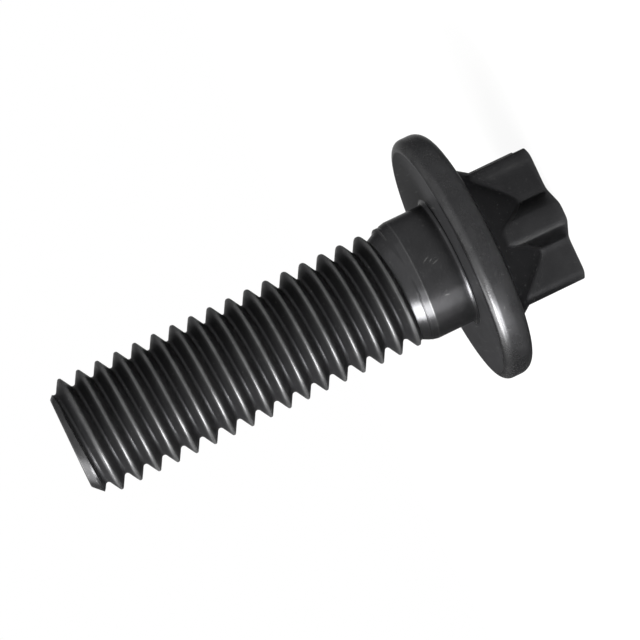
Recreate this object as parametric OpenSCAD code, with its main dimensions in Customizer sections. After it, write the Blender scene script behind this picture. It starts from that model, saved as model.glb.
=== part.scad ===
// Flange bolt with an outside six-lobe head, in one piece of steel.
// It stands on its head: the lobed end is lowest and the thread points up, along +Z.
// The origin lies on the axis in the plane of the bearing face, under the flange.

/* [Thread] */
// Distance from one crest to the next
pitch = 0.8; // [0.5:0.05:1]
// Gap by which the thread's crests stay below the plain shank
crest_gap = 0.05; // [0:0.01:0.2]
// Depth of the tip's chamfer, from the crests in to the flat end
tip_depth = 0.6; // [0.3:0.05:0.9]
// Angle between the tip's chamfer and the axis
tip_angle = 45; // [30:1:60]
// Direction round the axis in which the crest runs out at the tip
thread_start = 292; // [0:1:359]

/* [Shank] */
// Length under the head, from the bearing face to the tip
bolt_l = 16.25; // [12:0.25:20]
// Diameter of the plain shank
shank_d = 5; // [4:0.05:6]
// Length of the plain shank, from the bearing face to the neck
shank_l = 1.6; // [1:0.05:4]
// Length of the neck's lip, a gentle taper up to the plain shank
lip_l = 0.26; // [0.1:0.02:0.6]
// Depth of the neck's lip at its small end, below the plain shank
lip_depth = 0.06; // [0.02:0.01:0.2]
// Angle between the neck's cone, where the thread fades out, and the axis
neck_angle = 27; // [15:1:45]
// Radius of the fillet between the plain shank and the bearing face
fillet_r = 0.15; // [0.05:0.01:0.4]

/* [Flange] */
// Diameter of the flange
flange_d = 10.3; // [8.5:0.1:14]
// Thickness of the flange at its rim
flange_h = 1.28; // [1.1:0.02:2.4]
// Radius of the rim's edge on the bearing side
rim_lower_r = 0.36; // [0.1:0.02:0.5]
// Radius of the rim's edge on the head side
rim_upper_r = 0.56; // [0.1:0.02:0.58]
// Rise of the flange's head side towards the collar
flange_angle = 3; // [0:1:15]

/* [Head] */
// Height of the whole head, from the bearing face to the lobed end
head_h = 4.44; // [3.7:0.02:7]
// Diameter over two opposite lobes
lobes_d = 6.2; // [5.2:0.05:7.4]
// Depth of the grooves below the tops of the lobes
groove_depth = 0.8; // [0.6:0.05:1]
// Radius of the round top of each lobe
lobe_r = 0.66; // [0.55:0.01:0.75]
// Width by which the foot of the collar's cone stands out from the tops of the lobes
collar_step = 0.3; // [0.1:0.05:0.6]
// Angle between the collar's cone and the axis
collar_angle = 30; // [25:1:45]

/* [Recess] */
// Width across the flats of the hexagon recess at its mouth
recess_mouth = 2.15; // [1.2:0.05:3]
// Depth of the hexagon recess
recess_h = 0.55; // [0.2:0.05:1.2]
// Distance that each flat of the recess leans in between mouth and floor
recess_draft = 0.15; // [0.05:0.01:0.3]

/* [Hidden] */
steel = "#2c2c2e";
lobes = 6;
// Straight steps in each full turn of the thread
turn_steps = 36;
// Straight steps in each rounded edge or fillet
edge_steps = 8;
// Straight steps in the round of each lobe and of each groove
lobe_steps = 12;
// Length by which one shape starts inside another, so that they join
overlap = 0.2;
// Turns that the helix is drawn beyond each end, before it is trimmed
extra_turns = 2;

shank_r = shank_d / 2;
thread_r = shank_r - crest_gap;
tip_r = thread_r - tip_depth;
lip_r = shank_r - lip_depth;
flange_r = flange_d / 2;
lobes_r = lobes_d / 2;
grooves_r = lobes_r - groove_depth;
collar_r = lobes_r + collar_step;

// Basic profile of a metric thread, as shares of the pitch
crest_flat = 1 / 8;
root_flat = 1 / 4;
flank_depth = 0.5413;
root_depth = 0.6134;
root_r = 0.1443;

// One pitch of the thread's section, from the start of a crest: [along the axis, below the crest]
root_half = root_r * sin(30);
root_edge = root_depth - root_r * (1 - cos(30));
thread_section = [
    [-crest_flat / 2, 0],
    [crest_flat / 2, 0],
    [1 / 2 - root_flat / 2, flank_depth],
    [1 / 2 - root_half, root_edge],
    [1 / 2 + root_half, root_edge],
    [1 / 2 + root_flat / 2, flank_depth]
];
section_points = len(thread_section);

// The helix runs from inside the plain shank to beyond the tip
thread_turns = ceil((bolt_l - shank_l) / pitch) + 2 * extra_turns;
thread_top = bolt_l + extra_turns * pitch;
thread_steps = thread_turns * turn_steps;

// Heights of the neck: the lip, and the cone that ends inside the thread's core
lip_z = shank_l + lip_l;
core_r = thread_r - root_depth * pitch - overlap;
core_z = lip_z + (lip_r - core_r) / tan(neck_angle);

// Where the flange's head side leaves the rounded rim, and where the collar's cone starts and ends
rim_end_r = flange_r - rim_upper_r * (1 - sin(flange_angle));
rim_end_z = -flange_h + rim_upper_r * (1 - cos(flange_angle));
collar_z = rim_end_z - (rim_end_r - collar_r) * tan(flange_angle);
cone_z = max(
    collar_z - (collar_r - grooves_r + overlap) / tan(collar_angle),
    overlap - head_h
);
cone_r = collar_r - (collar_z - cone_z) * tan(collar_angle);

// Centres of the lobes' rounds, and the grooves' radius that runs smoothly into them
lobe_centre = lobes_r - lobe_r;
groove_top = pow(lobe_centre, 2) + pow(grooves_r, 2) - pow(lobe_r, 2)
    - 2 * lobe_centre * grooves_r * cos(180 / lobes);
groove_r = groove_top / 2 / (lobe_r - grooves_r + lobe_centre * cos(180 / lobes));
groove_centre = grooves_r + groove_r;
// Half the arc of a lobe's round, from its top to where the groove takes over
lobe_arc = atan2(
    groove_centre * sin(180 / lobes),
    groove_centre * cos(180 / lobes) - lobe_centre
);
groove_arc = lobe_arc - 180 / lobes;

// Points of an arc round [x, y], from the first angle to the last
function arc(x, y, r, from, to, steps) = [
    for (i = [0 : steps])
        let (a = from + (to - from) * i / steps)
        [x + r * cos(a), y + r * sin(a)]
];

// One lobe and the groove after it, turned by the given angle
function lobe_and_groove(turn) = [
    each arc(
        lobe_centre * cos(turn), lobe_centre * sin(turn), lobe_r,
        turn - lobe_arc, turn + lobe_arc, lobe_steps
    ),
    each [
        for (i = [1 : lobe_steps - 1])
            let (
                middle = turn + 180 / lobes,
                a = middle + 180 + groove_arc * (1 - 2 * i / lobe_steps)
            )
            [
                groove_centre * cos(middle) + groove_r * cos(a),
                groove_centre * sin(middle) + groove_r * sin(a)
            ]
    ]
];

// Corner of the thread's surface: a step along the helix and a point of the section
function thread_corner(step, point) =
    let (
        a = thread_start + 360 * (step / turn_steps - thread_turns + extra_turns),
        z = thread_top - (thread_steps - step) * pitch / turn_steps,
        r = thread_r - thread_section[point][1] * pitch
    )
    [r * cos(a), r * sin(a), z + thread_section[point][0] * pitch];

// Number of a corner in the list; the point after the last one is a full turn further on
function corner(step, point) =
    point < section_points
        ? step * section_points + point
        : (step + turn_steps) * section_points + point - section_points;

// Round parts in one section: neck, plain shank, flange and collar
module turned_body() {
    rotate_extrude($fn = 96)
        polygon([
            [0, core_z],
            [core_r, core_z],
            [lip_r, lip_z],
            [shank_r, shank_l],
            each arc(shank_r + fillet_r, fillet_r, fillet_r, 180, 270, edge_steps),
            each arc(flange_r - rim_lower_r, -rim_lower_r, rim_lower_r, 90, 0, edge_steps),
            each arc(
                flange_r - rim_upper_r, rim_upper_r - flange_h, rim_upper_r,
                0, flange_angle - 90, edge_steps
            ),
            [collar_r, collar_z],
            [cone_r, cone_z],
            [0, cone_z]
        ]);
}

// Right-hand helix of the thread, with a plain cap at each end
module thread_helix() {
    corners = [
        for (step = [0 : thread_steps], point = [0 : section_points - 1])
            thread_corner(step, point)
    ];
    low_centre = len(corners);
    high_centre = low_centre + 1;
    low_z = thread_top - thread_turns * pitch;
    sides = [
        for (step = [0 : thread_steps - 1], point = [0 : section_points - 1])
            if (point < section_points - 1 || step < thread_steps - turn_steps)
                let (
                    a = corner(step, point),
                    b = corner(step + 1, point),
                    c = corner(step + 1, point + 1),
                    d = corner(step, point + 1)
                )
                each [[a, c, b], [a, d, c]]
    ];
    low_edge = [
        each [for (step = [0 : turn_steps]) corner(step, 0)],
        each [for (point = [section_points - 1 : -1 : 1]) corner(0, point)]
    ];
    high_edge = [
        each [
            for (step = [thread_steps - turn_steps : thread_steps])
                corner(step, section_points - 1)
        ],
        each [for (point = [section_points - 2 : -1 : 0]) corner(thread_steps, point)]
    ];
    polyhedron(
        points = [each corners, [0, 0, low_z], [0, 0, thread_top]],
        faces = [
            each sides,
            for (i = [0 : len(low_edge) - 1])
                [low_centre, low_edge[i], low_edge[(i + 1) % len(low_edge)]],
            for (i = [0 : len(high_edge) - 1])
                [high_centre, high_edge[(i + 1) % len(high_edge)], high_edge[i]]
        ],
        convexity = 10
    );
}

// Room from inside the plain shank to the tip's chamfer and flat end, which trims the helix
module thread_room() {
    room_r = shank_r + overlap;
    rotate_extrude($fn = 96)
        polygon([
            [0, shank_l - overlap],
            [room_r, shank_l - overlap],
            [room_r, bolt_l - (room_r - tip_r) / tan(tip_angle)],
            [tip_r, bolt_l],
            [0, bolt_l]
        ]);
}

// Six lobes, from inside the flange to the end that the bolt stands on
module lobed_head() {
    translate([0, 0, -head_h])
        linear_extrude(head_h - flange_h / 2)
            polygon([for (i = [0 : lobes - 1]) each lobe_and_groove(i * 360 / lobes + 180 / lobes)]);
}

// Hexagon recess with drafted walls, its corners in line with the lobes
module hexagon_recess() {
    mouth = recess_mouth + 2 * recess_draft * overlap / recess_h;
    to_corner = 1 / cos(180 / lobes);
    rotate([0, 0, 180 / lobes])
        translate([0, 0, -head_h - overlap])
            cylinder(
                d1 = mouth * to_corner,
                d2 = (recess_mouth - 2 * recess_draft) * to_corner,
                h = recess_h + overlap,
                $fn = lobes
            );
}

module flange_bolt() {
    color(steel)
        difference() {
            union() {
                turned_body();
                intersection() {
                    thread_helix();
                    thread_room();
                }
                lobed_head();
            }
            hexagon_recess();
        }
}

flange_bolt();
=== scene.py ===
"""Looks of a flange bolt with an outside six-lobe head, in oiled black oxide steel.

The bolt is one smooth mesh that stands for the CAD node of the same name. Its
points lie on columns round the axis: the head, the flange and the plain shank
are closed rings, and the thread is a strip of rows that climb with the helix.
Lengths are in millimetres until they are handed to Blender. The bearing face is
at height 0, the thread points up and the bolt stands on the end of its head.
"""

from __future__ import annotations

import logging
import math
from dataclasses import dataclass, field
from enum import Enum
from typing import Any, Iterable, Sequence

import bpy
import numpy as np
from mathutils import Matrix, Vector


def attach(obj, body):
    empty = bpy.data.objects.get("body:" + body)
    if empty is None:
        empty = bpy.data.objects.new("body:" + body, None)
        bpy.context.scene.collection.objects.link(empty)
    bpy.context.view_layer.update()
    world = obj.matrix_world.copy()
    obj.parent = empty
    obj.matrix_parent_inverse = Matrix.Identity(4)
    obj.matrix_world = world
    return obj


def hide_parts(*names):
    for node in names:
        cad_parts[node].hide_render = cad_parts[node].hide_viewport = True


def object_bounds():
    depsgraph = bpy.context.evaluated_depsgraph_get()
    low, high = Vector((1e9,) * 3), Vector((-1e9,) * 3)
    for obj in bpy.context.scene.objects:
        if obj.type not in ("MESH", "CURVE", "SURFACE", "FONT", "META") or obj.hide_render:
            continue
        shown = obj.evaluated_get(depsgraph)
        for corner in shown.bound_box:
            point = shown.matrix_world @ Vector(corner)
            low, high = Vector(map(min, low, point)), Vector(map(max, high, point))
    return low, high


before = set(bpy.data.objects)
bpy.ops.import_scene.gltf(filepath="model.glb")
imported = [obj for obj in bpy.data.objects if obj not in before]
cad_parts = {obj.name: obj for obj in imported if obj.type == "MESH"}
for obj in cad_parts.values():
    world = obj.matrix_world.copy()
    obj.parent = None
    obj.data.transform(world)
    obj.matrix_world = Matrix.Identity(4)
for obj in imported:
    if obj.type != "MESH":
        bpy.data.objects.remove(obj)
cad_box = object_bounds()

LOG = logging.getLogger("flange_bolt")
MM = 0.001
# Outer sizes that the mesh shares with the CAD body
FLANGE_R = round(cad_box[1][0] / MM, 3)
HEAD_H = round(-cad_box[0][2] / MM, 3)
BOLT_L = round(cad_box[1][2] / MM, 3)
# Columns of points round the axis, and the direction of each
COLUMNS = 180
THETA = np.radians(np.arange(COLUMNS) * 360 / COLUMNS)
# Turn from one lobe of the head to the next
LOBE_STEP = math.radians(60)
# Points are joined where their coordinates agree to this many decimals
WELD_DIGITS = 5
# Edges that turn by more than this are drawn sharp
SHARP = math.radians(40)

# Distances from the axis and heights of a closed row of points, one on each column
Ring = tuple[np.ndarray, np.ndarray]
# How far a point is rubbed bright, left rough, and blackened, each from 0 to 1: the black is the
# sooty coat, and in the hollows of the head and the thread it is also painted shade
Wear = tuple[float | np.ndarray, float | np.ndarray, float | np.ndarray]
PLAIN: Wear = (0.0, 0.0, 0.0)


# Small tools


def linear_colour(code: str) -> tuple[float, float, float, float]:
    """Turns an sRGB hex code into a linear colour, by the standard curve.

    Args:
        code: Six hex digits after a hash sign.

    Returns:
        Red, green, blue and an opacity of 1.
    """
    parts = [int(code[i : i + 2], 16) / 255 for i in (1, 3, 5)]
    linear = [p / 12.92 if p <= 0.04045 else ((p + 0.055) / 1.055) ** 2.4 for p in parts]
    return (linear[0], linear[1], linear[2], 1.0)


def smooth_step(low: float, high: float, value: np.ndarray) -> np.ndarray:
    """Goes smoothly from 0 at low to 1 at high, and falls instead where low is above high."""
    t = np.clip((value - low) / (high - low), 0, 1)
    return t * t * (3 - 2 * t)


def soft_max(a: np.ndarray, b: np.ndarray, width: float) -> np.ndarray:
    """The larger of two surfaces, with the corner between them rounded over a width."""
    near = np.maximum(width - np.abs(a - b), 0) / width
    return np.maximum(a, b) + near * near * width / 4


def soft_min(a: np.ndarray, b: np.ndarray, width: float) -> np.ndarray:
    """The smaller of two surfaces, with the corner between them rounded over a width."""
    return -soft_max(-a, -b, width)


def to_circle(centre: float, radius: float, turn: np.ndarray, side: int) -> np.ndarray:
    """Distance from the axis to a circle's far (1) or near (-1) side, at a turn off its centre."""
    root = np.sqrt(np.maximum(radius**2 - (centre * np.sin(turn)) ** 2, 0))
    return centre * np.cos(turn) + side * root


def ring(r: np.ndarray | float, z: np.ndarray | float) -> Ring:
    """A closed row of points, one on each column, from radii and heights."""
    full = np.ones(COLUMNS)
    return (r * full, z * full)


def between(a: Ring, b: Ring, shares: Iterable[float]) -> list[Ring]:
    """Rings that lie at the given shares of the way from ring a to ring b."""
    return [(a[0] + (b[0] - a[0]) * t, a[1] + (b[1] - a[1]) * t) for t in shares]


def part_way(start: Ring, end: Ring, distance: float) -> Ring:
    """The ring at a distance from one ring towards another.

    Args:
        start: Ring that the distance is measured from.
        end: Ring that gives the direction.
        distance: Distance along the section.

    Returns:
        The ring.
    """
    dr, dz = end[0] - start[0], end[1] - start[1]
    length = np.hypot(dr, dz)
    return (start[0] + dr / length * distance, start[1] + dz / length * distance)


def turn_corner(before: Ring, corner: Ring, after: Ring, reach: float, steps: int) -> list[Ring]:
    """Rounds the corner of a section.

    Args:
        before: Ring that the section comes from.
        corner: Ring in the sharp corner.
        after: Ring that the section goes to.
        reach: Distance from the corner at which the rounding starts and ends.
        steps: Straight steps in the rounding.

    Returns:
        The rings of the rounding, from its start to its end.
    """
    start, end = part_way(corner, before, reach), part_way(corner, after, reach)
    rings = []
    for i in range(steps + 1):
        t = i / steps
        shares = ((1 - t) ** 2, 2 * t * (1 - t), t * t)
        r, z = (
            shares[0] * start[k] + shares[1] * corner[k] + shares[2] * end[k] for k in (0, 1)
        )
        rings.append((r, z))
    return rings


def round_edge(
    r: float, z: float, radius: float, first: float, last: float, steps: int
) -> list[Ring]:
    """Rings on a round edge.

    Args:
        r: Distance of the edge's centre from the axis.
        z: Height of the edge's centre.
        radius: Radius of the edge.
        first: Angle of the first ring, in degrees above the horizontal.
        last: Angle of the last ring.
        steps: Straight steps from the first to the last.

    Returns:
        The rings in order.
    """
    rings = []
    for angle in np.radians(np.linspace(first, last, steps + 1)):
        rings.append(ring(r + radius * math.cos(angle), z + radius * math.sin(angle)))
    return rings


# Nodes and finishes


def add_node(
    tree: bpy.types.NodeTree,
    kind: str,
    settings: dict[str, Any] | None = None,
    inputs: dict[str | int, Any] | None = None,
) -> bpy.types.Node:
    """Adds a node with its settings and links.

    Args:
        tree: Node tree of the material or the world.
        kind: Blender's name for the kind of node.
        settings: Values for the node's own properties.
        inputs: For each socket, a value or the output socket that feeds it.

    Returns:
        The node.
    """
    node = tree.nodes.new(kind)
    for key, value in (settings or {}).items():
        setattr(node, key, value)
    for key, value in (inputs or {}).items():
        if isinstance(value, bpy.types.NodeSocket):
            tree.links.new(value, node.inputs[key])
        else:
            node.inputs[key].default_value = value
    return node


def new_material(name: str) -> tuple[bpy.types.Material, bpy.types.NodeTree]:
    """Makes a node material that has no nodes yet.

    Args:
        name: Name of the material.

    Returns:
        The material and its node tree.
    """
    material = bpy.data.materials.new(name)
    material.use_nodes = True
    material.node_tree.nodes.clear()
    return material, material.node_tree


def ray_kinds(tree: bpy.types.NodeTree) -> tuple[bpy.types.NodeSocket, bpy.types.NodeSocket]:
    """Finds the rays that show the background.

    Args:
        tree: Node tree of the material or the world.

    Returns:
        Factors for rays straight from the camera, and for rays from gloss or through glass.
    """
    path = add_node(tree, "ShaderNodeLightPath").outputs
    mirrored = add_node(
        tree,
        "ShaderNodeMath",
        {"operation": "MAXIMUM"},
        {0: path["Is Glossy Ray"], 1: path["Is Transmission Ray"]},
    ).outputs[0]
    return path["Is Camera Ray"], mirrored


@dataclass(frozen=True)
class BlackOxideSteel:
    """Steel, cold headed and thread rolled, with an oiled black oxide coat.

    The coat is about a micrometre thick, so the eye sees the soft highlights of
    metal in a charcoal tone. It is blotchy where the bath and the oil took
    unevenly, sooty and matt where forging or rolling left a rough skin, and grey
    where handling rubbed the crests, the rims and the shoulders of the lobes.
    The sooty tone also gives painted shade in the collar, the thread roots and
    the lobe flanks, and the rubbed grey gives a painted highlight on the lobe
    that faces the camera.
    """

    name: str = "steel_black_oxide_oiled"
    # Tones of the coat where it is full, thin and sooty, of rubbed steel and of scratches; the
    # sooty tone is also painted shade in the collar, the thread roots and the lobe flanks
    coat: str = "#2a2a2b"
    thin_coat: str = "#3c3c3d"
    sooty_and_painted_shade: str = "#1c1c1d"
    rubbed: str = "#606060"
    scratch: str = "#6c6c6b"
    # The oil film keeps the mirror at grazing angles below that of bare metal
    grazing: str = "#b0b0b0"
    # Each on smooth steel and on the rough skin
    metallic: tuple[float, float] = (0.9, 0.62)
    roughness: tuple[float, float] = (0.25, 0.46)
    # A blotch changes the roughness by its level times the first number, plus the second
    blotch_roughness: tuple[float, float] = (0.1, -0.05)
    # Blotches of the bath and the oil: size in millimetres, detail and roughness of the noise
    blotch: tuple[float, float, float] = (0.9, 5.0, 0.6)
    # Crystals of the coat are micrometres wide, and are drawn as coarse as they need to show
    grain: tuple[float, float, float] = (0.07, 3.0, 0.55)
    grain_strength: float = 0.12
    grain_height_mm: float = 0.01
    # Hair scratches are micrometres wide too, and are drawn as wide as they need to show
    hair_mm: float = 0.09
    hair_detail: float = 1.0
    hair_stretch: float = 0.045
    hair_turn: tuple[float, float, float] = (0.5, 0.35, 0.9)
    # Levels of the noise between which a hair appears, and how strong it gets
    hair_levels: tuple[float, float] = (0.68, 0.8)
    hair_strength: float = 0.3
    # Short strokes on the front of the plain shank: across, up, half the length, lean in degrees
    strokes: tuple[tuple[float, float, float, float], ...] = (
        (0.58, 1.08, 0.2, 63.0),
        (0.35, 0.78, 0.2, 75.0),
        (0.48, 0.92, 0.12, 60.0),
        (-0.99, 0.88, 0.13, 102.0),
    )
    # Where the strokes lie in front of the axis, how far they reach in, and half their width
    stroke_front: float = -2.4
    stroke_reach: float = 0.5
    stroke_half: float = 0.022

    def scratches(
        self, tree: bpy.types.NodeTree, place: bpy.types.NodeSocket
    ) -> bpy.types.NodeSocket:
        """Hair scratches all over, and the few short strokes on the front of the plain shank.

        Args:
            tree: Node tree of the material.
            place: Position on the bolt.

        Returns:
            How scratched each point is, from 0 to 1.
        """
        drawn = add_node(
            tree,
            "ShaderNodeMapping",
            inputs={
                "Vector": place,
                "Rotation": self.hair_turn,
                "Scale": (1.0, self.hair_stretch, 1.0),
            },
        ).outputs[0]
        lines = add_node(
            tree,
            "ShaderNodeTexNoise",
            inputs={"Vector": drawn, "Scale": 1 / (self.hair_mm * MM), "Detail": self.hair_detail},
        ).outputs["Fac"]
        scratched = add_node(
            tree,
            "ShaderNodeMapRange",
            inputs={
                "Value": lines,
                "From Min": self.hair_levels[0],
                "From Max": self.hair_levels[1],
                "To Max": self.hair_strength,
            },
        ).outputs[0]
        for x, z, half_length, lean in self.strokes:
            inside = add_node(
                tree,
                "ShaderNodeMapping",
                {"vector_type": "TEXTURE"},
                {
                    "Vector": place,
                    "Location": (x * MM, self.stroke_front * MM, z * MM),
                    "Rotation": (0.0, math.radians(lean), 0.0),
                    "Scale": (half_length * MM, self.stroke_reach * MM, self.stroke_half * MM),
                },
            ).outputs[0]
            stroke = add_node(
                tree, "ShaderNodeTexGradient", {"gradient_type": "SPHERICAL"}, {"Vector": inside}
            ).outputs["Fac"]
            scratched = add_node(
                tree, "ShaderNodeMath", {"operation": "MAXIMUM"}, {0: scratched, 1: stroke}
            ).outputs[0]
        return scratched

    def build(self) -> bpy.types.Material:
        """Makes the node material.

        Returns:
            The material, ready for the bolt.
        """
        material, tree = new_material(self.name)
        place = add_node(tree, "ShaderNodeTexCoord").outputs["Object"]
        blotch, grain = (
            add_node(
                tree,
                "ShaderNodeTexNoise",
                inputs={
                    "Vector": place,
                    "Scale": 1 / (size * MM),
                    "Detail": detail,
                    "Roughness": uneven,
                },
            ).outputs["Fac"]
            for size, detail, uneven in (self.blotch, self.grain)
        )
        wear = add_node(tree, "ShaderNodeAttribute", {"attribute_name": "wear"}).outputs["Vector"]
        polish, raw, black = add_node(
            tree, "ShaderNodeSeparateXYZ", inputs={"Vector": wear}
        ).outputs
        patchy = add_node(
            tree, "ShaderNodeMath", {"operation": "MULTIPLY"}, {0: polish, 1: blotch}
        ).outputs[0]
        # The mix node's colours are its sockets 6 and 7, and its output 2
        colour = linear_colour(self.coat)
        for share, code in (
            (blotch, self.thin_coat),
            # The black share mixes in the sooty tone, which is painted shade in the collar, roots
            # and flanks
            (black, self.sooty_and_painted_shade),
            (patchy, self.rubbed),
            (self.scratches(tree, place), self.scratch),
        ):
            colour = add_node(
                tree,
                "ShaderNodeMix",
                {"data_type": "RGBA"},
                {0: share, 6: colour, 7: linear_colour(code)},
            ).outputs[2]
        metallic, even = (
            add_node(
                tree,
                "ShaderNodeMapRange",
                inputs={"Value": raw, "To Min": on_smooth, "To Max": on_rough},
            ).outputs[0]
            for on_smooth, on_rough in (self.metallic, self.roughness)
        )
        change = add_node(
            tree,
            "ShaderNodeMath",
            {"operation": "MULTIPLY_ADD"},
            {0: blotch, 1: self.blotch_roughness[0], 2: self.blotch_roughness[1]},
        ).outputs[0]
        roughness = add_node(
            tree, "ShaderNodeMath", {"operation": "ADD"}, {0: change, 1: even}
        ).outputs[0]
        bump = add_node(
            tree,
            "ShaderNodeBump",
            inputs={
                "Height": grain,
                "Strength": self.grain_strength,
                "Distance": self.grain_height_mm * MM,
            },
        ).outputs[0]
        # The share of the coat that isn't metallic has no mirror of its own
        steel = add_node(
            tree,
            "ShaderNodeBsdfPrincipled",
            inputs={
                "Base Color": colour,
                "Metallic": metallic,
                "Specular IOR Level": 0.0,
                "Roughness": roughness,
                "Specular Tint": linear_colour(self.grazing),
                "Normal": bump,
            },
        )
        add_node(tree, "ShaderNodeOutputMaterial", inputs={"Surface": steel.outputs[0]})
        return material


@dataclass(frozen=True)
class WhiteSweep:
    """Uncoated white card, pressed matt, under the bolt.

    It looks like soft white paper with no sheen. The camera and the bolt's gloss
    see it lifted to pure white, and close to the bolt the camera still sees the
    shadow.
    """

    name: str = "card_white_matt"
    card: str = "#f8f8f6"
    glow: str = "#ffffff"
    # Share of pure white that the camera sees close to the bolt
    lift: float = 0.93
    # Distances from the origin over which the card turns pure white, for the camera and in gloss
    reach_seen: tuple[float, float] = (22.0, 90.0)
    reach_mirrored: tuple[float, float] = (2.2, 4.6)

    def build(self) -> bpy.types.Material:
        """Makes the node material.

        Returns:
            The material, ready for the floor.
        """
        material, tree = new_material(self.name)
        matt = add_node(tree, "ShaderNodeBsdfDiffuse", inputs={"Color": linear_colour(self.card)})
        glow = add_node(
            tree,
            "ShaderNodeEmission",
            inputs={"Color": linear_colour(self.glow), "Strength": 1.0},
        )
        place = add_node(tree, "ShaderNodeTexCoord").outputs["Object"]
        away = add_node(
            tree, "ShaderNodeVectorMath", {"operation": "LENGTH"}, {0: place}
        ).outputs["Value"]
        whites = []
        for rays, (near, far), low in zip(
            ray_kinds(tree), (self.reach_seen, self.reach_mirrored), (self.lift, 0.0)
        ):
            white = add_node(
                tree,
                "ShaderNodeMapRange",
                inputs={
                    "Value": away,
                    "From Min": near * MM,
                    "From Max": far * MM,
                    "To Min": low,
                },
            ).outputs[0]
            whites.append(
                add_node(
                    tree, "ShaderNodeMath", {"operation": "MULTIPLY"}, {0: rays, 1: white}
                ).outputs[0]
            )
        share = add_node(
            tree, "ShaderNodeMath", {"operation": "MAXIMUM"}, {0: whites[0], 1: whites[1]}
        ).outputs[0]
        mixed = add_node(
            tree,
            "ShaderNodeMixShader",
            inputs={0: share, 1: matt.outputs[0], 2: glow.outputs[0]},
        )
        add_node(tree, "ShaderNodeOutputMaterial", inputs={"Surface": mixed.outputs[0]})
        return material


@dataclass(frozen=True)
class BlackCard:
    """Black card, dyed in the pulp and matt, which the gloss mirrors as an even dark grey."""

    name: str = "card_black_matt"
    tone: str = "#404040"

    def build(self) -> bpy.types.Material:
        """Makes the node material.

        Returns:
            The material, ready for the flag.
        """
        material, tree = new_material(self.name)
        matt = add_node(tree, "ShaderNodeBsdfDiffuse", inputs={"Color": linear_colour(self.tone)})
        add_node(tree, "ShaderNodeOutputMaterial", inputs={"Surface": matt.outputs[0]})
        return material


# Mesh


@dataclass
class Skin:
    """Points and faces of one closed surface, with what the finish needs at each point."""

    points: list[np.ndarray] = field(default_factory=list)
    wear: list[np.ndarray] = field(default_factory=list)
    faces: list[np.ndarray] = field(default_factory=list)
    count: int = 0

    def add_points(self, r: np.ndarray, z: np.ndarray, theta: np.ndarray, wear: Wear) -> int:
        """Adds points given round the axis.

        Args:
            r: Distances from the axis.
            z: Heights.
            theta: Directions round the axis, in radians.
            wear: Wear of the points.

        Returns:
            Number of the first point that was added.
        """
        first = self.count
        flat = [np.asarray(v, float).ravel() for v in np.broadcast_arrays(r, z, theta, *wear)]
        r, z, theta = flat[:3]
        self.points.append(np.stack([r * np.cos(theta), r * np.sin(theta), z], 1))
        self.wear.append(np.stack(flat[3:], 1))
        self.count += len(r)
        return first

    def add_rings(self, rings: Sequence[Ring], wear: Sequence[Wear]) -> None:
        """Adds rings and joins each to the next, with a face for each column.

        Args:
            rings: The rings in order.
            wear: Wear of each ring.
        """
        starts = [self.add_points(r, z, THETA, w) for (r, z), w in zip(rings, wear, strict=True)]
        here = np.arange(COLUMNS)
        there = (here + 1) % COLUMNS
        for low, high in zip(starts, starts[1:]):
            self.faces.append(np.stack([low + here, low + there, high + there, high + here], 1))

    def finish(self, name: str) -> bpy.types.Object:
        """Joins points that fall together and makes the mesh.

        Args:
            name: Name of the piece.

        Returns:
            The piece, smooth but for its sharp edges.
        """
        keys, first, place = np.unique(
            np.round(np.concatenate(self.points), WELD_DIGITS),
            axis=0,
            return_index=True,
            return_inverse=True,
        )
        quads = place.ravel()[np.concatenate(self.faces)]
        kept = []
        for quad in quads.tolist():
            corners = [c for i, c in enumerate(quad) if c != quad[i - 1]]
            if len(set(corners)) == len(corners) > 2:
                kept.append(corners)
        mesh = bpy.data.meshes.new(name)
        mesh.from_pydata((keys * MM).tolist(), [], kept)
        mesh.validate()
        wear = mesh.attributes.new("wear", "FLOAT_VECTOR", "POINT")
        shares = np.concatenate(self.wear)[first].astype(np.float32)
        wear.data.foreach_set("vector", shares.ravel())
        mesh.shade_smooth()
        mesh.set_sharp_from_angle(angle=SHARP)
        piece = bpy.data.objects.new(name, mesh)
        bpy.context.scene.collection.objects.link(piece)
        return piece


# Sub-assemblies of the bolt: lengths in millimetres, angles in radians, rows of rings as shares
# of the way across each face


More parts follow.
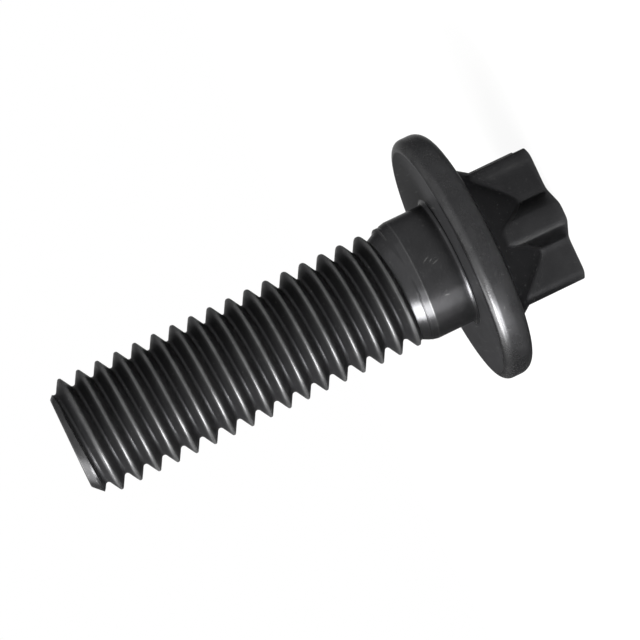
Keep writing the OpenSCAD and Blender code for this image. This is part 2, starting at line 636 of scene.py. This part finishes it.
@dataclass
class LobedHead:
    """Six-lobe head on its conical collar, with a shallow hexagon recess in its end."""

    height: float = HEAD_H
    # From the axis to the crowns and to the bottoms of the grooves, and the direction of a lobe
    lobes_r: float = 3.1
    grooves_r: float = 2.2
    first_lobe: float = math.radians(30)
    # Half the arc of a crown, the rounds beside it and the round of a groove
    crown: float = math.radians(3)
    lobe_r: float = 0.33
    groove_r: float = 0.45
    # Radius of the collar's foot, and how far its cone comes in over its height
    collar_r: float = 3.46
    collar_slope: float = math.tan(math.radians(35))
    # Hexagon recess, as half the width over its flats
    recess_mouth: float = 1.075
    recess_floor: float = 0.925
    recess_depth: float = 0.55
    # How far the rounding of each edge reaches
    floor_edge: float = 0.03
    mouth_edge: float = 0.04
    end_edge: float = 0.06
    arch_edge: float = 0.05
    floor_rows: tuple[float, ...] = (0.3, 0.65, 0.9)
    end_rows: tuple[float, ...] = (0.1, 0.35, 0.6, 0.82)
    wall_rows: tuple[float, ...] = (0.12, 0.35, 0.6, 0.8, 0.93)
    cone_rows: tuple[float, ...] = (0.25, 0.45, 0.65, 0.82)
    # Line that spanners rub beside each crown, and how far it is rubbed on each lobe in turn: the
    # lobe facing the camera is rubbed fully as a painted highlight, and its neighbour on the lamps'
    # side hardly at all, to keep its edge dark
    shoulder: float = math.radians(8)
    shoulder_width: float = math.radians(1.4)
    spanner_wear_and_highlight: tuple[float, ...] = (0.4, 0.3, 0.6, 0.05, 1.0, 0.2)
    # Black of the walls, and the painted shade that the flank beside the rubbed line adds where the
    # next lobe shades the groove: it comes in over the first turn, and goes out near the groove
    # between the last two
    wall_black: float = 0.3
    flank_painted_shade: float = 0.2
    flank_start: float = math.radians(3)
    flank_end: tuple[float, float] = (math.radians(-28), math.radians(-25))
    # Wear of recess and end, of each ring round the end's edge, of the walls' foot and the collar;
    # the black of the walls' foot and the collar is sooty skin and painted shade, darkest in the
    # recess by the flange
    end_wear: Wear = (0.0, 0.4, 0.2)
    end_rubbed: tuple[float, ...] = (0.1, 0.2, 0.25, 0.25, 0.15, 0.05)
    wall_foot_wear_and_shade: Wear = (0.0, 0.3, 0.5)
    collar_wear_and_shade: Wear = (0.0, 0.8, 1.0)

    def nearest_lobe(self) -> tuple[np.ndarray, np.ndarray]:
        """Number of the lobe nearest to each column, and the turn from its middle."""
        lobe, turn = np.divmod(THETA - self.first_lobe + LOBE_STEP / 2, LOBE_STEP)
        return lobe.astype(int), turn - LOBE_STEP / 2

    def outline(self) -> np.ndarray:
        """Outline of the lobes: crown, round, straight flank and round groove.

        Returns:
            Distance from the axis on each column.
        """
        side = np.maximum(np.abs(self.nearest_lobe()[1]) - self.crown, 0)
        half = LOBE_STEP / 2 - self.crown
        lobe_centre = self.lobes_r - self.lobe_r
        groove_centre = self.grooves_r + self.groove_r
        # From the centre of a lobe's round to the centre of the groove's
        along = groove_centre * math.cos(half) - lobe_centre
        across = groove_centre * math.sin(half)
        reach = self.lobe_r + self.groove_r
        # Direction that the straight flank faces, and the turns at which it meets the rounds
        flank = math.atan2(across, along) - math.acos(reach / math.hypot(across, along))
        lobe_end = math.atan2(
            self.lobe_r * math.sin(flank), lobe_centre + self.lobe_r * math.cos(flank)
        )
        groove_start = math.atan2(
            across - self.groove_r * math.sin(flank),
            along + lobe_centre - self.groove_r * math.cos(flank),
        )
        on_lobe = to_circle(lobe_centre, self.lobe_r, side, 1)
        on_flank = (lobe_centre * math.cos(flank) + self.lobe_r) / np.cos(side - flank)
        in_groove = to_circle(groove_centre, self.groove_r, half - side, -1)
        beside = np.where(side < groove_start, on_flank, in_groove)
        return np.where(side <= lobe_end, on_lobe, beside)

    def shoulders(self) -> tuple[np.ndarray, np.ndarray]:
        """How far spanners have rubbed each column, partly as a painted highlight, and how black it
        is.

        Returns:
            Rubbed on the shoulder that takes the tightening, and black on the walls with painted
            shade on the flank beside it.
        """
        lobe, turn = self.nearest_lobe()
        # The rubbing is wear, but its amount on each lobe is a painted highlight on the lobe facing
        # the camera
        share = np.array(self.spanner_wear_and_highlight)[lobe % len(self.spanner_wear_and_highlight)]
        rubbed = share * np.exp(-(((turn + self.shoulder) / self.shoulder_width) ** 2))
        flank = smooth_step(-self.shoulder, -self.shoulder - self.flank_start, turn)
        # Painted shade: the flank beside the rubbed line is darkened where the next lobe shades the
        # groove
        black = self.flank_painted_shade * flank * smooth_step(*self.flank_end, turn)
        return rubbed, self.wall_black + black

    def hexagon(self, flats_r: float) -> np.ndarray:
        """Distance of a hexagon from the axis on each column, for half its width over the flats."""
        return flats_r / np.cos((THETA - self.first_lobe) % LOBE_STEP - LOBE_STEP / 2)

    def rings(self, foot: float) -> tuple[list[Ring], list[Wear]]:
        """Rings from the recess floor, over the end and up the lobes, to the collar's foot.

        Args:
            foot: Height at which the collar's cone meets the flange.

        Returns:
            The rings and the wear of each.
        """
        end = -self.height
        outline = self.outline()
        centre = ring(0.0, end + self.recess_depth)
        floor = ring(self.hexagon(self.recess_floor), end + self.recess_depth)
        mouth = ring(self.hexagon(self.recess_mouth), end)
        edge = ring(outline, end)
        arch = ring(outline, foot - (self.collar_r - outline) / self.collar_slope)
        foot_ring = ring(self.collar_r, foot)
        rings = [centre, *between(centre, floor, self.floor_rows)]
        rings += turn_corner(centre, floor, mouth, self.floor_edge, steps=2)
        rings += turn_corner(floor, mouth, edge, self.mouth_edge, steps=3)
        rings += between(mouth, edge, self.end_rows)
        wear: list[Wear] = [self.end_wear] * len(rings)
        rings += turn_corner(mouth, edge, arch, self.end_edge, len(self.end_rubbed) - 1)
        wear += [(share, 0.0, 0.0) for share in self.end_rubbed]
        walls = between(edge, arch, self.wall_rows)
        corner = turn_corner(edge, arch, foot_ring, self.arch_edge, steps=3)
        cone = between(arch, foot_ring, self.cone_rows)
        rings += [*walls, *corner, *cone]
        rubbed, black = self.shoulders()
        # The walls' foot and the collar get painted shade, darkening into the recess by the flange
        wear += [(rubbed, 0.0, black)] * (len(walls) - 1) + [self.wall_foot_wear_and_shade]
        wear += [self.collar_wear_and_shade] * (len(corner) + len(cone))
        return rings, wear


@dataclass
class Flange:
    """Round flange with a full rim, slightly hollow on the bearing side and raised on the other."""

    radius: float = FLANGE_R
    thickness: float = 1.28
    # Rise of the head side towards the collar, and depth of the hollow at the shank
    rise: float = math.radians(3)
    hollow: float = 0.07
    # Radii of the rim's edges, on the bearing side and on the head side, and of the shank's fillet
    lower_edge: float = 0.36
    upper_edge: float = 0.56
    fillet: float = 0.15
    # How far the rounding at the collar's foot reaches, and a step up its cone for the direction
    foot_edge: float = 0.06
    cone_step: float = 0.3
    head_rows: tuple[float, ...] = (0.15, 0.5, 0.85, 0.96)
    bearing_rows: tuple[float, ...] = (0.03, 0.12, 0.35, 0.6, 0.85, 0.96)
    # Wear of the head side, and how it fades from ring to ring round the rim's upper edge
    head_wear: Wear = (0.0, 0.6, 0.5)
    rim_wear: Wear = (0.0, 0.4, 0.3)
    rim_fade: float = 0.03
    # How far each ring round the rim's lower edge is rubbed, its roughness, and the bearing face
    lower_rubbed: tuple[float, ...] = (0.0, 0.05, 0.15, 0.3, 0.45, 0.45, 0.3, 0.15, 0.1)
    lower_rough: float = 0.12
    bearing_wear: Wear = (0.0, 0.9, 0.3)

    def foot(self, collar_r: float) -> float:
        """Height at which a collar meets the flange.

        Args:
            collar_r: Radius of the collar's foot.

        Returns:
            The height.
        """
        edge_r = self.radius - self.upper_edge * (1 - math.sin(self.rise))
        edge_z = -self.thickness + self.upper_edge * (1 - math.cos(self.rise))
        return edge_z - (edge_r - collar_r) * math.tan(self.rise)

    def rings(self, head: LobedHead, shank_r: float) -> tuple[list[Ring], list[Wear]]:
        """Rings from the collar's foot, round the rim and over the bearing face, to the shank.

        Args:
            head: The head whose collar stands on the flange.
            shank_r: Radius of the plain shank.

        Returns:
            The rings and the wear of each.
        """
        foot = ring(head.collar_r, self.foot(head.collar_r))
        cone = ring(head.collar_r - self.cone_step, foot[1] - self.cone_step / head.collar_slope)
        upper = round_edge(
            self.radius - self.upper_edge,
            self.upper_edge - self.thickness,
            self.upper_edge,
            first=math.degrees(self.rise) - 90,
            last=0,
            steps=10,
        )
        lower = round_edge(
            self.radius - self.lower_edge,
            -self.lower_edge,
            self.lower_edge,
            first=0,
            last=90,
            steps=len(self.lower_rubbed) - 1,
        )
        fillet = round_edge(
            shank_r + self.fillet,
            self.fillet - self.hollow,
            self.fillet,
            first=270,
            last=180,
            steps=6,
        )
        bearing = between(lower[-1], ring(shank_r + self.fillet, -self.hollow), self.bearing_rows)
        rings = turn_corner(cone, foot, upper[0], self.foot_edge, steps=4)
        rings += between(foot, upper[0], self.head_rows)
        wear: list[Wear] = [self.head_wear] * len(rings)
        rings += [*upper, *lower, *bearing, *fillet]
        rubbed, rough, black = self.rim_wear
        fades = [self.rim_fade * i for i in range(len(upper))]
        wear += [(rubbed, rough - fade, black - fade) for fade in fades]
        wear += [(share, self.lower_rough, 0.0) for share in self.lower_rubbed]
        wear += [self.bearing_wear] * len(bearing) + [PLAIN] * len(fillet)
        return rings, wear


@dataclass
class ThreadedShank:
    """Plain shank, neck and right-hand rolled thread up to the chamfered tip."""

    length: float = BOLT_L
    # Plain shank, and the gentle taper of its lip down to the neck
    shank_r: float = 2.5
    shank_end: float = 1.6
    lip_r: float = 2.44
    lip_end: float = 1.86
    lip_round: float = 0.02
    # How far the neck's cone comes in over its height, and the thin line turned in at its start
    neck_slope: float = math.tan(math.radians(27))
    line_height: float = 0.02
    line_depth: float = 0.022
    line_width: float = 0.028
    # Crests, distance between them, and the direction in which the crest runs out at the tip
    thread_r: float = 2.45
    pitch: float = 0.8
    thread_start: float = math.radians(292)
    # Profile of a metric thread, in pitches: half the crest's flat, end of the flank, and the root
    crest_half: float = 1 / 16
    flank_slope: float = math.sqrt(3)
    flank_end: float = 0.375
    root_depth: float = 0.6134
    root_r: float = 0.1443
    crest_round: float = 0.075
    # The first crests by the neck are this much lower, up to where they are full
    blunt_depth: float = 0.035
    blunt_reach: tuple[float, float] = (1.9, 3.1)
    # Flat end, how far the rounding of its edge reaches, and the rounding at the neck and chamfer
    tip_r: float = 1.85
    tip_edge: float = 0.05
    blend: float = 0.03
    # Heights of the rings on the plain shank and over the lip's edge, then the first, the step and
    # the count of those over the thin line, and where the strip of the thread takes over
    shank_rows: tuple[float, ...] = (0.19, 0.3, 0.55, 0.8, 1.05, 1.3, 1.5)
    lip_rows: tuple[float, ...] = (1.56, 1.585, 1.6, 1.615, 1.64, 1.7, 1.76)
    line_rows: tuple[float, float, int] = (1.8, 0.015, 12)
    strip_low: float = 1.98
    # Rows of the strip from the middle of a crest to the middle of a root, in pitches
    crest_phases: tuple[float, ...] = (0.026, 0.044, 0.062, 0.081)
    flank_phases: tuple[float, ...] = (0.18, 0.28, 0.375)
    root_phases: tuple[float, ...] = (0.415, 0.457, 0.5)
    tip_rows: tuple[float, ...] = (0.08, 0.3, 0.6, 1.0)
    # Heights over neck and chamfer at which the wear of the thread and of the chamfer comes in
    thread_fade: tuple[float, float] = (-0.05, 0.02)
    chamfer_fade: tuple[float, float] = (-0.02, 0.02)
    # Depths below the crest at which the wear of a crest ends and that of a root begins; the roots'
    # black is painted shade in the groove of the thread, on top of the sooty coat
    crest_fade: tuple[float, float] = (0.12, 0.0)
    root_fade: tuple[float, float] = (0.08, 0.25)
    crest_wear: Wear = (0.72, 0.55, 0.0)
    # Painted shade: the black of the roots darkens the groove of the thread
    root_wear_and_shade: Wear = (0.0, 0.7, 0.5)
    chamfer_wear: Wear = (0.27, 0.0, 0.0)
    # Wear of the lip's edge and half its width, of the tip's edge, and of the flat end
    lip_wear: Wear = (0.5, 0.0, 0.0)
    lip_wear_half: float = 0.03
    tip_edge_wear: Wear = (1.0, 0.0, 0.0)
    tip_rim_wear: Wear = (0.3, 0.2, 0.0)
    tip_wear: Wear = (0.0, 0.5, 0.0)

    def depth(self, phase: np.ndarray) -> np.ndarray:
        """Depth of a metric thread below its crest, with rolled crests and round roots.

        Args:
            phase: Distance from the middle of the crest, in pitches, from 0 to one half.

        Returns:
            Depths in millimetres.
        """
        on_flank = (phase - self.crest_half) * self.flank_slope
        bulge = np.sqrt(np.maximum(self.root_r**2 - (0.5 - phase) ** 2, 0))
        in_root = self.root_depth - self.root_r + bulge
        depth = np.where(phase < self.flank_end, on_flank, in_root)
        return soft_max(depth, np.zeros_like(depth), self.crest_round) * self.pitch

    def surface(self, theta: np.ndarray, z: np.ndarray) -> tuple[np.ndarray, Wear]:
        """Radius of the shank at points round the axis.

        Args:
            theta: Directions in radians.
            z: Heights.

        Returns:
            Radii, and the wear of the points.
        """
        turns = (z - self.length) / self.pitch - (theta - self.thread_start) / (2 * math.pi)
        depth = self.depth(np.abs(turns - np.round(turns)))
        blunt = self.blunt_depth * (1 - smooth_step(*self.blunt_reach, z))
        thread = self.thread_r - np.maximum(depth, blunt)
        cone = self.lip_r - (z - self.lip_end) * self.neck_slope
        slope = (self.shank_r - self.lip_r) / (self.lip_end - self.shank_end)
        lip = np.minimum(self.shank_r, self.shank_r - (z - self.shank_end) * slope)
        line = np.exp(-(((z - self.lip_end - self.line_height) / self.line_width) ** 2))
        neck = soft_min(lip, cone, self.lip_round) - self.line_depth * line
        chamfer = self.tip_r + self.length - z
        chamfered = smooth_step(*self.chamfer_fade, thread - chamfer)
        threaded = smooth_step(*self.thread_fade, thread - neck) * (1 - chamfered)
        shares = (
            (smooth_step(*self.crest_fade, depth) * threaded, self.crest_wear),
            (smooth_step(*self.root_fade, depth) * threaded, self.root_wear_and_shade),
            (chamfered, self.chamfer_wear),
        )
        rubbed, rough, black = (sum(share * wear[i] for share, wear in shares) for i in range(3))
        radius = soft_min(soft_max(thread, neck, self.blend), chamfer, self.blend)
        return radius, (rubbed, rough, black)

    def level_ring(self, z: float) -> Ring:
        """The ring on which the shank's surface is cut at a height."""
        return ring(self.surface(THETA, np.full(COLUMNS, z))[0], z)

    def neck_rings(self) -> tuple[list[Ring], list[Wear]]:
        """Rings from the fillet, up the plain shank and over the lip, to the strip of the thread.

        Returns:
            The rings and the wear of each.
        """
        first, step, count = self.line_rows
        over_line = [first + step * i for i in range(count)]
        heights = [*self.shank_rows, *self.lip_rows, *over_line, self.strip_low]
        from_lip = [abs(z - self.shank_end) for z in heights]
        wear = [self.lip_wear if away < self.lip_wear_half else PLAIN for away in from_lip]
        return [self.level_ring(z) for z in heights], wear

    def add_strip(self, skin: Skin) -> None:
        """Adds the rows that climb with the helix, cut level at the neck and at the tip's edge.

        Args:
            skin: The skin that gets the strip.
        """
        half = (*self.crest_phases, *self.flank_phases, *self.root_phases)
        phases = np.array([*half, *(1 - p for p in reversed(half[:-1]))])
        rows = len(phases)
        # A crest on the first column, and the turns of the helix that lie below and above it
        crest = self.length - self.pitch * self.thread_start / (2 * math.pi)
        below = math.ceil((crest - self.strip_low) / self.pitch) + 1
        above = math.ceil((self.length - crest) / self.pitch) + 1
        number = np.arange((below + above) * rows)
        climb = (number // rows + phases[number % rows]) * self.pitch
        low = crest - below * self.pitch
        z = low + climb[:, None] + self.pitch * np.arange(COLUMNS)[None, :] / COLUMNS
        z = np.clip(z, self.strip_low, self.length - self.tip_edge)
        theta = np.broadcast_to(THETA, z.shape)
        radius, wear = self.surface(theta, z)
        first = skin.add_points(radius, z, theta, wear)
        here = first + number[:-1, None] * COLUMNS + np.arange(COLUMNS - 1)[None, :]
        sides = np.stack([here, here + 1, here + 1 + COLUMNS, here + COLUMNS], -1)
        skin.faces.append(sides.reshape(-1, 4))
        # The last column of each row meets the first column of the row that is one turn on
        start = first + number[rows:-1] * COLUMNS
        last = start + COLUMNS - 1 - rows * COLUMNS
        skin.faces.append(np.stack([last, start, start + COLUMNS, last + COLUMNS], -1))

    def tip_rings(self) -> tuple[list[Ring], list[Wear]]:
        """Rings from the chamfer, over its edge and across the flat end, to the axis.

        Returns:
            The rings and the wear of each.
        """
        edge = self.level_ring(self.length - self.tip_edge)
        corner = ring(self.tip_r, self.length)
        centre = ring(0.0, self.length)
        rounding = turn_corner(edge, corner, centre, self.tip_edge, steps=3)
        flat = between(corner, centre, self.tip_rows)
        wear = [self.tip_edge_wear] * (1 + len(rounding)) + [self.tip_rim_wear]
        wear += [self.tip_wear] * (len(flat) - 1)
        return [edge, *rounding, *flat], wear


@dataclass
class FlangeBolt:
    """The whole bolt: head, flange and threaded shank in one skin, with one finish."""

    name: str = "flange_bolt_steel"
    head: LobedHead = field(default_factory=LobedHead)
    flange: Flange = field(default_factory=Flange)
    shank: ThreadedShank = field(default_factory=ThreadedShank)
    coat: BlackOxideSteel = field(default_factory=BlackOxideSteel)

    def build(self) -> bpy.types.Object:
        """Makes the mesh, ties it to the CAD body and dresses it.

        Returns:
            The finished piece.
        """
        skin = Skin()
        rings: list[Ring] = []
        wear: list[Wear] = []
        for part_rings, part_wear in (
            self.head.rings(self.flange.foot(self.head.collar_r)),
            self.flange.rings(self.head, self.shank.shank_r),
            self.shank.neck_rings(),
        ):
            rings += part_rings
            wear += part_wear
        skin.add_rings(rings, wear)
        self.shank.add_strip(skin)
        skin.add_rings(*self.shank.tip_rings())
        piece = skin.finish(self.name)
        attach(piece, "root")
        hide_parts("flange_bolt")
        piece.data.materials.append(self.coat.build())
        return piece


# Studio


@dataclass(frozen=True)
class Lamp:
    """Place, size and power of a soft rectangular lamp.

    The azimuth is in degrees from the camera's side, -Y, towards -X, and the
    elevation in degrees. The lamp looks at the studio's aim from the distance.
    """

    azimuth: float
    elevation: float
    distance: float
    width: float
    height: float
    watts: float


class LampRole(Enum):
    """What each lamp draws on the bolt."""

    # These two draw the bright bands along the thread, the shank and the rim
    KEY_LOW = Lamp(63.0, 11.0, distance=90.0, width=48.0, height=26.0, watts=0.084)
    KEY_HIGH = Lamp(71.0, 37.0, distance=90.0, width=48.0, height=40.0, watts=0.25)
    # Large and weak, to fade the edges of those bands
    HALO = Lamp(50.0, 18.0, distance=88.0, width=84.0, height=64.0, watts=0.07)
    # Small and low, for the patch of light on the plain shank beside the flange
    FOOT = Lamp(59.0, -6.0, distance=28.0, width=14.0, height=13.0, watts=0.0028)
    # From behind and above, for the tip's chamfer and the far end of the rim's band
    OVERHEAD = Lamp(122.0, 54.0, distance=100.0, width=66.0, height=56.0, watts=0.078)
    # Wide and weak, so that the side away from the key lamps still reads
    FILL = Lamp(-24.0, 30.0, distance=120.0, width=320.0, height=130.0, watts=0.07)


@dataclass
class Studio:
    """Floor, world, lamps and a black flag round the bolt."""

    floor_z: float = -HEAD_H
    floor_half: float = 600.0
    white: str = "#ffffff"
    # Strength of the surround's light on the bolt
    ambient: float = 0.45
    # Point that the lamps look at
    aim: tuple[float, float, float] = (0.0, 0.0, 6.0)
    # The flag's first and last azimuth in degrees, as a lamp's, and its columns between them
    flag_azimuths: tuple[float, float] = (94.0, 178.0)
    flag_columns: int = 13
    # Distance from the axis and height of each bend of the flag, from the floor up
    flag_section: tuple[tuple[float, float], ...] = (
        (3.7, -4.4),
        (30.0, -4.4),
        (34.0, 2.0),
        (34.0, 34.0),
    )

    def build_floor(self) -> bpy.types.Object:
        """Lays the floor under the head's end.

        Returns:
            The floor.
        """
        mesh = bpy.data.meshes.new("floor")
        side, z = self.floor_half * MM, self.floor_z * MM
        corners = [(-side, -side, z), (side, -side, z), (side, side, z), (-side, side, z)]
        mesh.from_pydata(corners, [], [(0, 1, 2, 3)])
        mesh.materials.append(WhiteSweep().build())
        floor = bpy.data.objects.new("floor", mesh)
        bpy.context.scene.collection.objects.link(floor)
        return floor

    def build_world(self) -> bpy.types.World:
        """Makes a surround that is seen as pure white and lights the bolt only softly.

        Returns:
            The world.
        """
        world = bpy.data.worlds.new("studio")
        world.use_nodes = True
        tree = world.node_tree
        tree.nodes.clear()
        soft, shown = (
            add_node(
                tree,
                "ShaderNodeBackground",
                inputs={"Color": linear_colour(self.white), "Strength": strength},
            ).outputs[0]
            for strength in (self.ambient, 1.0)
        )
        camera, mirrored = ray_kinds(tree)
        seen = add_node(
            tree, "ShaderNodeMath", {"operation": "MAXIMUM"}, {0: camera, 1: mirrored}
        ).outputs[0]
        mixed = add_node(tree, "ShaderNodeMixShader", inputs={0: seen, 1: soft, 2: shown})
        add_node(tree, "ShaderNodeOutputWorld", inputs={"Surface": mixed.outputs[0]})
        bpy.context.scene.world = world
        return world

    def build_lamp(self, role: LampRole) -> bpy.types.Object:
        """Hangs one soft lamp and points it at the bolt.

        Args:
            role: The lamp's job, which gives its place, size and power.

        Returns:
            The lamp.
        """
        spec = role.value
        data = bpy.data.lights.new(f"lamp_{role.name.lower()}", "AREA")
        data.shape = "RECTANGLE"
        data.size = spec.width * MM
        data.size_y = spec.height * MM
        data.energy = spec.watts
        lamp = bpy.data.objects.new(data.name, data)
        bpy.context.scene.collection.objects.link(lamp)
        a, e = math.radians(spec.azimuth), math.radians(spec.elevation)
        back = Vector((-math.sin(a) * math.cos(e), -math.cos(a) * math.cos(e), math.sin(e)))
        lamp.location = (Vector(self.aim) + back * spec.distance) * MM
        lamp.rotation_mode = "QUATERNION"
        lamp.rotation_quaternion = (-back).to_track_quat("-Z", "Y")
        lamp.visible_camera = False
        return lamp

    def build_flag(self) -> bpy.types.Object:
        """Stands a curved black card beside the key lamps, which only reflections see.

        Returns:
            The card.
        """
        points = [
            (-math.sin(a) * r * MM, -math.cos(a) * r * MM, z * MM)
            for a in np.radians(np.linspace(*self.flag_azimuths, self.flag_columns))
            for r, z in self.flag_section
        ]
        row = len(self.flag_section)
        faces = [
            (first, first + 1, first + row + 1, first + row)
            for first in range(len(points) - row)
            if first % row < row - 1
        ]
        mesh = bpy.data.meshes.new("flag")
        mesh.from_pydata(points, [], faces)
        mesh.materials.append(BlackCard().build())
        flag = bpy.data.objects.new("flag", mesh)
        bpy.context.scene.collection.objects.link(flag)
        flag.visible_camera = False
        flag.visible_diffuse = False
        flag.visible_shadow = False
        return flag

    def build(self) -> None:
        """Makes the floor, the world, the flag and every lamp."""
        self.build_floor()
        self.build_world()
        self.build_flag()
        for role in LampRole:
            self.build_lamp(role)


@dataclass
class PhotoCamera:
    """Camera at the photograph's angle, rolled so that the bolt lies aslant in the picture."""

    place: tuple[float, float, float] = (4.76, -105.53, 16.53)
    target: tuple[float, float, float] = (0.138, 0.0, 5.483)
    # Degrees by which the camera is turned about its line of sight
    roll: float = 115.62
    lens: float = 153.6
    sensor: float = 36.0
    # Nearest and farthest that the camera sees, in metres
    clip: tuple[float, float] = (0.001, 10.0)

    def build(self) -> bpy.types.Object:
        """Makes the camera and sets it as the scene's own.

        Returns:
            The camera.
        """
        data = bpy.data.cameras.new("camera")
        data.lens = self.lens
        data.sensor_width = self.sensor
        data.clip_start, data.clip_end = self.clip
        camera = bpy.data.objects.new("camera", data)
        bpy.context.scene.collection.objects.link(camera)
        look = (Vector(self.target) - Vector(self.place)).normalized()
        upright = look.to_track_quat("-Z", "Y").to_matrix().to_4x4()
        rolled = upright @ Matrix.Rotation(math.radians(-self.roll), 4, "Z")
        camera.matrix_world = Matrix.Translation(Vector(self.place) * MM) @ rolled
        bpy.context.scene.camera = camera
        return camera


def main() -> None:
    """Builds the bolt, its finish, the studio and the camera, and notes the sizes."""
    logging.basicConfig(level=logging.INFO, format="%(name)s: %(message)s")
    bolt = FlangeBolt().build()
    LOG.info("%s: %d points, %d faces", bolt.name, len(bolt.data.vertices), len(bolt.data.polygons))
    Studio().build()
    LOG.info("studio: floor, world, flag and %d lamps", len(LampRole))
    camera = PhotoCamera().build()
    LOG.info("camera: %s, lens %.1f mm", camera.name, camera.data.lens)
    bpy.context.scene.view_settings.view_transform = "Standard"


if __name__ == "__main__":
    main()
